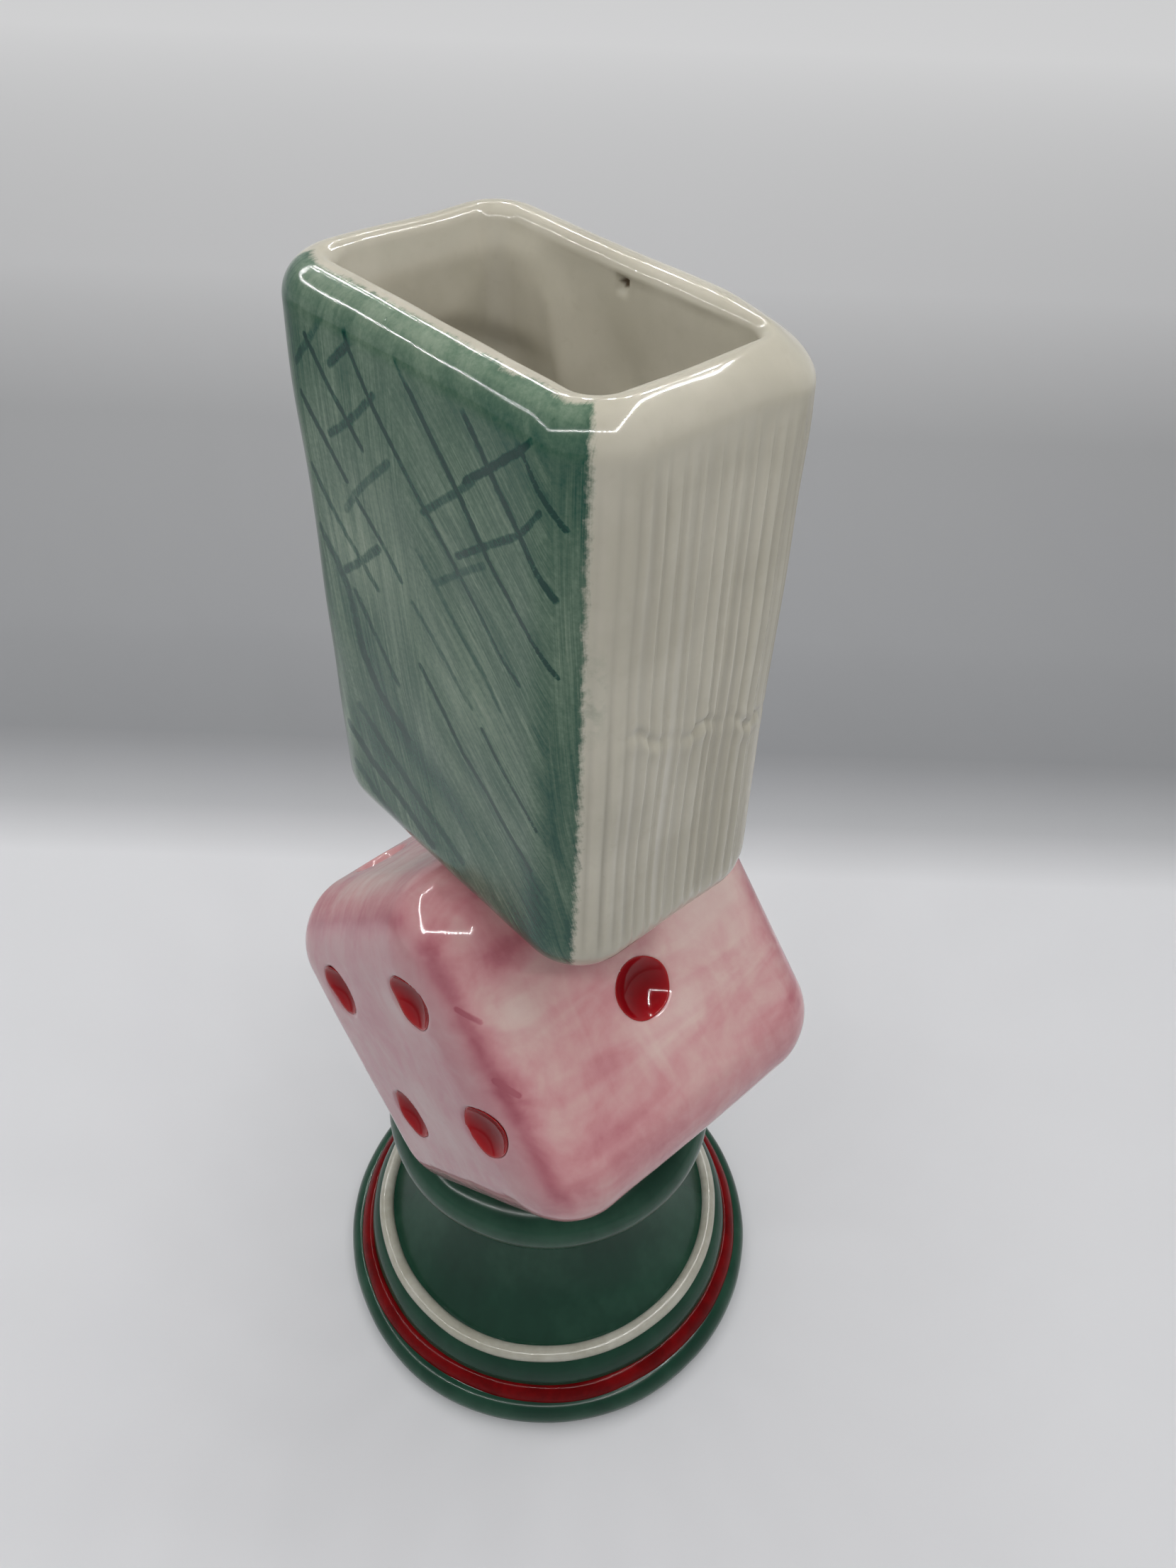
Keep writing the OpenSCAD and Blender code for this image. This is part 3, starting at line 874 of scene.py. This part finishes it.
# Patches of the rose wash on three faces: middle, half-widths, and how much thicker or thinner it lies.
ONE_PATCHES = [
    ((22, 3), (15, 14), -0.36), ((-31, 8), (8, 8), -0.30), ((-36, 24), (5, 5), -0.2),
    ((4, -14), (12, 7), -0.16), ((-26, -24), (9, 7), 0.12), ((-32, -34), (6, 6), -0.18),
]
TWO_PATCHES = [((8, -26), (14, 10), -0.24)]
FOUR_PATCHES = [
    ((6, -12), (8, 12), -0.20), ((14, 16), (8, 7), -0.22), ((-2, 14), (9, 9), 0.12),
    ((-18, -24), (9, 6), -0.2),
]


def patches(across, along, table):
    return sum(amount * bump(across, a, half_a) * bump(along, b, half_b)
               for (a, b), (half_a, half_b), amount in table)


def rose_depth(point, way):
    """How thickly the rose wash lies, from 0 to 1: heavier along the edges and in a few broad strokes."""
    x, y, z = point.T
    depth = 0.40 + 0.24 * smooth_step(0.05, 0.28, 1 - np.max(np.abs(way), axis=1))
    turn_one = np.degrees(np.arctan2(way[:, 0], -way[:, 1]))
    turn_two = np.degrees(np.arctan2(way[:, 2], -way[:, 1]))
    front = way[:, 1] < 0
    depth += 0.22 * front * bump(turn_one, 44, 7) * smooth_step(0.5, 0.2, np.abs(way[:, 2]))
    depth += 0.20 * front * bump(turn_two, 40, 8) * smooth_step(0.5, 0.2, np.abs(way[:, 0]))

    on_one, on_two, on_four = (smooth_step(0.75, 0.97, part) for part in (way[:, 0], way[:, 2], -way[:, 1]))
    one = 0.30 * smooth_step(-22, -38, z) + 0.22 * smooth_step(24, 40, y)
    one += 0.30 * bump(y, -29, 4) * smooth_step(16, 26, z)
    one += 0.34 * bump(z, 22.5, 3.5) * smooth_step(-12, -24, y)
    depth += on_one * (one + patches(y, z, ONE_PATCHES))
    depth += on_two * (0.2 * smooth_step(20, 38, x) + patches(x, y, TWO_PATCHES))
    return depth + on_four * (0.06 + patches(x, z, FOUR_PATCHES))


FOUR_FACE_PAINTED_SHADE = (0.78, 0.78, 0.8268)   # painted shade: darkens and cools the colour on the front face
ROSE_WASH = [
    (0.0, (0.61, 0.46, 0.42)), (0.28, (0.565, 0.355, 0.340)), (0.55, (0.515, 0.245, 0.258)),
    (0.8, (0.43, 0.155, 0.180)), (1.0, (0.34, 0.095, 0.120)),
]
PIP_RED = (0.27, 0.006, 0.010)


def die_material():
    s = Shader("rose_wash_glaze")
    place = s.field("die_place", True)
    sweep = s.noise(s.mapped(place, (0.16, 0.028, 0.11), (-20, 0, 0)), 1.0, 2.5, 0.5, 0.9)
    cross = s.noise(s.mapped(place, (0.045, 0.14, 0.05), (35, 10, 0)), 1.0, 2, 0.5, 1.0)
    clouds = s.noise(place, 0.06, 4, 0.58, 0.5)
    mottle = s.noise(place, 0.42, 4, 0.65)
    depth = s.field("rose")
    calm = s.less(1.0, s.times(s.field("four"), 0.45))
    for noise, amount in ((sweep, 0.70), (cross, 0.35), (clouds, 0.80), (mottle, 0.18)):
        depth = s.add(depth, s.times(s.swing(noise, amount), calm))
    depth = s.add(depth, s.times(s.span(s.field("dash"), 0.9, 0.3), 0.35))
    colour = s.ramp(s.limit(depth), ROSE_WASH)
    # painted shade multiplied into the wash on the front face
    colour = s.mix(s.field("four"), colour, FOUR_FACE_PAINTED_SHADE, "MULTIPLY")
    pip_halo = s.span(s.field("pressed"), 0.22, 0.9)
    colour = s.mix(s.times(pip_halo, 0.95), colour, PIP_RED)
    rough = s.span(clouds, 0.3, 0.7, 0.08, 0.12)
    ripple = s.noise(place, 0.3, 1.0, 0.4)
    return s.finish(colour, rough, ripple, 0.05)


# Short heavier touches of the brush on the front edges, as start and end in the die's own frame, in mm.
DASHES = [((38.2, -40.3, 16.5), (40.4, -37.8, 12.0)), ((38.2, -40.3, -1.0), (40.4, -37.8, -6.0))]


def gap_to_dashes(point):
    nearest = np.full(len(point), OUT_OF_REACH)
    for start, end in DASHES:
        a, b = np.array(start), np.array(end)
        t = np.clip((point - a) @ (b - a) / ((b - a) @ (b - a)), 0, 1)
        nearest = np.minimum(nearest, np.linalg.norm(point - a - t[:, None] * (b - a), axis=1))
    return nearest


def make_die():
    point, way, faces = die_shape()
    fields = {"die_place": point.copy(), "rose": rose_depth(point, way), "dash": gap_to_dashes(point)}
    point = point + way * die_skin(point)[:, None]
    point, low = press_pips(point)
    fields["pressed"] = low
    # mask of the front face, for its painted shade and its calmer mottling
    fields["four"] = smooth_step(0.55, 0.95, -way[:, 1])
    world = die_to_world(point)
    world[:, 2] = np.clip(world[:, 2], DIE_BOTTOM, DECK_BASE + 0.4)
    die = make_object("die", world, faces.tolist(), fields)
    die.data.materials.append(die_material())
    place(die, "rose_glaze", "die_shell")


ENAMEL_RED = [(0.0, (0.33, 0.012, 0.014)), (0.35, (0.26, 0.002, 0.006)), (1.0, (0.16, 0.001, 0.003))]


def enamel_material():
    s = Shader("red_enamel")
    place = s.place()
    clouds = s.noise(place, 160, 3, 0.5)
    colour = s.ramp(s.add(s.field("deep"), s.swing(clouds, 0.5)), ENAMEL_RED)
    return s.finish(colour, s.span(clouds, 0.3, 0.7, 0.08, 0.12), s.noise(place, 300, 1, 0.5), 0.05, 1.4)


ENAMEL = 0.75         # thickness of the red glaze at the bottom of a pip
ENAMEL_SUNK = 0.12    # how far its underside lies in the clay
BOWL_ROWS = 22
BOWL_COLUMNS = 64


def bowl_edge(number, index, turn):
    """The uneven edge of one pip's glaze, which stops short of the lip in the two."""
    edge = pip_mouth(number) * (0.72 if number == 2 else 0.99)
    return edge + 0.14 * np.sin(2 * turn + index + number) + 0.07 * np.sin(5 * turn + 2 * index)


def enamel_bowl(number, index):
    """One pip's glaze in the die's own frame, underside first, and how deep each point lies, from 0 to 1."""
    out, u, v, spots = pip_places()[number]
    a, b = spots[index]
    middle = a * u + b * v
    level, half_u, half_v = (np.abs(DIE_HALF @ way) for way in (out, u, v))
    face = level + die_skin((level * out + middle)[None])[0]

    def lining(across, along, gap):
        fall = edge_fall(across, half_u) + edge_fall(along, half_v)
        return face - fall - pip_depth_at(gap, pip_mouth(number))

    turn = np.linspace(0, 2 * math.pi, BOWL_COLUMNS, endpoint=False)
    share = np.linspace(0.06, 1, BOWL_ROWS)
    share = np.concatenate([share, share[::-1]])[:, None]
    upper = np.arange(2 * BOWL_ROWS)[:, None] >= BOWL_ROWS
    gap = share * bowl_edge(number, index, turn)
    across, along = a + gap * np.cos(turn), b + gap * np.sin(turn)
    surface = lining(across, along, gap) + np.where(upper, ENAMEL, -ENAMEL_SUNK) * (1 - 0.85 * share ** 4)
    ring = across[..., None] * u + along[..., None] * v + surface[..., None] * out
    low, high = (middle + (lining(a, b, 0.0) + lift) * out for lift in (-ENAMEL_SUNK, ENAMEL))
    deep = np.broadcast_to(1 - share ** 3, gap.shape)
    return [low, *ring.reshape(-1, 3), high], [1.0, *deep.ravel(), 1.0]


def make_enamel(number, name, node, material):
    """The red glaze in one face's pips: thin closed bowls, thickest at the bottom."""
    bowl = loft_faces(2 * BOWL_ROWS, BOWL_COLUMNS, True, True)
    vertices, faces, deep = [], [], []
    for index in range(len(pip_places()[number][3])):
        points, depths = enamel_bowl(number, index)
        faces += [[len(vertices) + corner for corner in face] for face in bowl]
        vertices += points
        deep += depths
    made = make_object(name, die_to_world(np.array(vertices)), faces, {"deep": deep})
    made.data.materials.append(material)
    place(made, "red_enamel", node)


# ---------------- turned pieces


def turned(name, profile, wave, seed, columns=192):
    """A closed turned piece from a profile of (radius, height), slightly out of true like a casting."""
    profile = np.asarray(profile, float)
    rows = len(profile)
    turn = np.linspace(0, 2 * math.pi, columns, endpoint=False)
    radius, height = profile[:, :1], np.broadcast_to(profile[:, 1:], (rows, columns))
    ring = np.stack([radius * np.cos(turn), radius * np.sin(turn), height], -1)
    grow = wave * wobble(ring, 70, seed) + 0.3 * wave * wobble(ring, 21, seed + 1)
    ring[..., :2] *= (1 + grow / np.maximum(radius, 20))[..., None]
    last = (rows - 1) * columns
    faces = loft_faces(rows, columns, False, False)
    faces += [[last + i, last + (i + 1) % columns, (i + 1) % columns, i] for i in range(columns)]
    return make_object(name, ring.reshape(-1, 3), faces)


def curve(r0, z0, r1, z1, leaves_upright, steps):
    """Quarter ellipse from one radius and height to another."""
    a = np.linspace(0, math.pi / 2, steps + 1)
    if leaves_upright:
        return np.stack([r1 + (r0 - r1) * np.cos(a), z0 + (z1 - z0) * np.sin(a)], -1)
    return np.stack([r0 + (r1 - r0) * np.sin(a), z1 + (z0 - z1) * np.cos(a)], -1)


def flare(r0, z0, r1, z1, steps):
    """Trumpet flare that eases from a wide bottom into a straight neck."""
    t = np.linspace(0, 1, steps + 1)
    return np.stack([r1 + (r0 - r1) * (1 - t) ** 2, z0 + (z1 - z0) * t], -1)


PEDESTAL_WALL = 6.0
NECK_R = 30.0
SHOULDER_R = 50.0
SHOULDER_Z = 21.5
DISC_H = 10.0
STEM_TOP = 63.8


def pedestal_profile():
    """Up the outside of the foot, shoulder and stem, then down the hollow to the flat standing ring."""
    foot, wall, tip = PEDESTAL_R, PEDESTAL_WALL, PEDESTAL_TOP + 1.2
    return np.concatenate([
        curve(foot - 5, 0.3, foot, 5, False, 16),
        curve(foot, 5, foot - 3.9, DISC_H, True, 16)[1:],
        curve(foot - 7.1, DISC_H + 3.6, SHOULDER_R - 1.2, SHOULDER_Z + 0.4, True, 20),
        flare(SHOULDER_R - 2.2, SHOULDER_Z + 0.9, NECK_R, STEM_TOP, 70),
        [(NECK_R, tip), (NECK_R - wall, tip)],
        flare(SHOULDER_R - 9, SHOULDER_Z - 7, NECK_R - wall, STEM_TOP, 30)[::-1],
        [(foot - 13, 4), (foot - 15, 0.8), (foot - 14, 0.2), (foot - 6, 0.2)],
    ])


GREEN_GLAZE = [
    (0.0, (0.056, 0.138, 0.088)), (0.35, (0.022, 0.072, 0.044)), (0.65, (0.007, 0.038, 0.022)),
    (1.0, (0.003, 0.018, 0.011)),
]


def green_material():
    s = Shader("bottle_green_glaze")
    place = s.place()
    height = s.node("ShaderNodeSeparateXYZ")
    s.link(place, height.inputs[0])
    z = s.times(height.outputs["Z"], 1 / MM)
    clouds = s.noise(place, 30, 4, 0.55, 0.3)
    runs = s.noise(s.mapped(place, (1, 1, 0.18)), 90, 3, 0.5, 0.2)
    fine = s.noise(place, 350, 3, 0.55)
    depth = s.add(0.62, s.swing(clouds, 0.55))
    depth = s.add(depth, s.swing(runs, 0.45))
    depth = s.add(depth, s.swing(fine, 0.10))
    # lighter green on the collar's upper round and on the foot's round: glaze thinned over the edges, and a
    # painted sheen
    collar_thin_glaze_and_sheen = s.times(s.span(z, 72, 77), s.span(z, 84, 79))
    foot_thin_glaze_and_sheen = s.times(s.span(z, 1.0, 4.5), s.span(z, 9, 6))
    # painted shade: darker green on the neck just under the collar's overhang
    shade_under_collar = s.times(s.span(z, 66, 70), s.span(z, 72, 69))
    depth = s.less(depth, s.times(collar_thin_glaze_and_sheen, 0.16))
    depth = s.less(depth, s.times(foot_thin_glaze_and_sheen, 0.20))
    depth = s.add(depth, s.times(shade_under_collar, 0.25))
    colour = s.ramp(depth, GREEN_GLAZE)
    rough = s.span(clouds, 0.3, 0.7, 0.14, 0.24)
    return s.finish(colour, rough, s.add(s.times(runs, 0.6), s.times(fine, 0.2)), 0.10, 1.33)


def bead_profile(radius, height, wide, thick, tilt=0.0, steps=32):
    """An oval section, its width turned by tilt degrees from level."""
    turn = np.linspace(0, 2 * math.pi, steps, endpoint=False)
    u, v = wide / 2 * np.cos(turn), thick / 2 * np.sin(turn)
    cosine, sine = math.cos(math.radians(tilt)), math.sin(math.radians(tilt))
    return np.stack([radius + u * cosine - v * sine, height + u * sine + v * cosine], -1)


def bead_material(name, pale, deep, size, ior=1.45):
    s = Shader(name)
    place = s.place()
    clouds = s.noise(place, 70, 4, 0.6, 0.3)
    fine = s.noise(place, size, 3, 0.5)
    tone = s.add(s.times(clouds, 0.7), s.times(fine, 0.3))
    colour = s.mix(s.span(tone, 0.36, 0.64), deep, pale)
    rough = s.span(clouds, 0.3, 0.7, 0.12, 0.22)
    return s.finish(colour, rough, s.add(clouds, s.times(fine, 0.4)), 0.12, ior)


COLLAR_H = 17.0
COLLAR_Z = 76.3
DISH_R = 34.0


def collar_profile():
    """Over the stem's top, round the ring and into the dish that holds the die."""
    edge = COLLAR_H / 2
    seat, low, high = PEDESTAL_TOP + 0.1, COLLAR_Z - edge, COLLAR_Z + edge
    turn = np.linspace(-math.pi / 2, math.pi / 2, 40)
    ring = np.stack([COLLAR_R - edge + edge * np.cos(turn), COLLAR_Z + edge * np.sin(turn)], -1)
    return np.concatenate([
        [(4.0, seat), (NECK_R + 0.6, seat), (NECK_R + 1.2, low - 0.4)],
        ring,
        [(DISH_R + 1.2, high - 0.3), (DISH_R, high - 1.6), (DISH_R - 0.2, 77.9), (4.0, 77.6)],
    ])


CREAM_BEAD_D = 4.4
RED_BEAD_W, RED_BEAD_T, RED_BEAD_TILT = 5.8, 2.9, -51
CREAM_BEAD_TONES = ((0.42, 0.41, 0.355), (0.34, 0.33, 0.27))
RED_BEAD_TONES = ((0.15, 0.001, 0.002), (0.085, 0.0005, 0.001))
SLIP_TONES = ((0.55, 0.40, 0.38), (0.42, 0.27, 0.26))


def make_turned(name, profile, wave, seed, material, slot_name, node):
    made = turned(name, profile, wave, seed)
    made.data.materials.append(material)
    place(made, slot_name, node)


def paint_node(node, material):
    """Gives its looks to a CAD node that is shown as it is."""
    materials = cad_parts[node].data.materials
    materials.clear()
    materials.append(material)


def make_pedestal():
    green = green_material()
    make_turned("pedestal", pedestal_profile(), 0.25, 31, green, "green_glaze", "pawn_pedestal")
    make_turned("collar_ring", collar_profile(), 0.3, 37, green, "green_glaze", "collar")
    section = bead_profile(SHOULDER_R, SHOULDER_Z, CREAM_BEAD_D, CREAM_BEAD_D)
    cream = bead_material("cream_bead_glaze", *CREAM_BEAD_TONES, 400)
    make_turned("cream_band", section, 0.3, 41, cream, "cream_glaze", "cream_bead")
    section = bead_profile(PEDESTAL_R - 5.6, DISC_H + 1.2, RED_BEAD_W, RED_BEAD_T, RED_BEAD_TILT)
    red = bead_material("red_band_glaze", *RED_BEAD_TONES, 400, 1.2)
    make_turned("red_band", section, 0.3, 43, red, "red_enamel", "red_bead")
    paint_node("die_bed", green)
    paint_node("deck_joint", bead_material("joint_slip", *SLIP_TONES, 500))


# ---------------- the scene

make_camera()
make_floor()
make_lights()
make_deck()
make_die()
enamel = enamel_material()
for number, word in enumerate(("one", "two", "three", "four", "five", "six"), 1):
    make_enamel(number, "pips_" + word, "enamel_" + word, enamel)
make_pedestal()
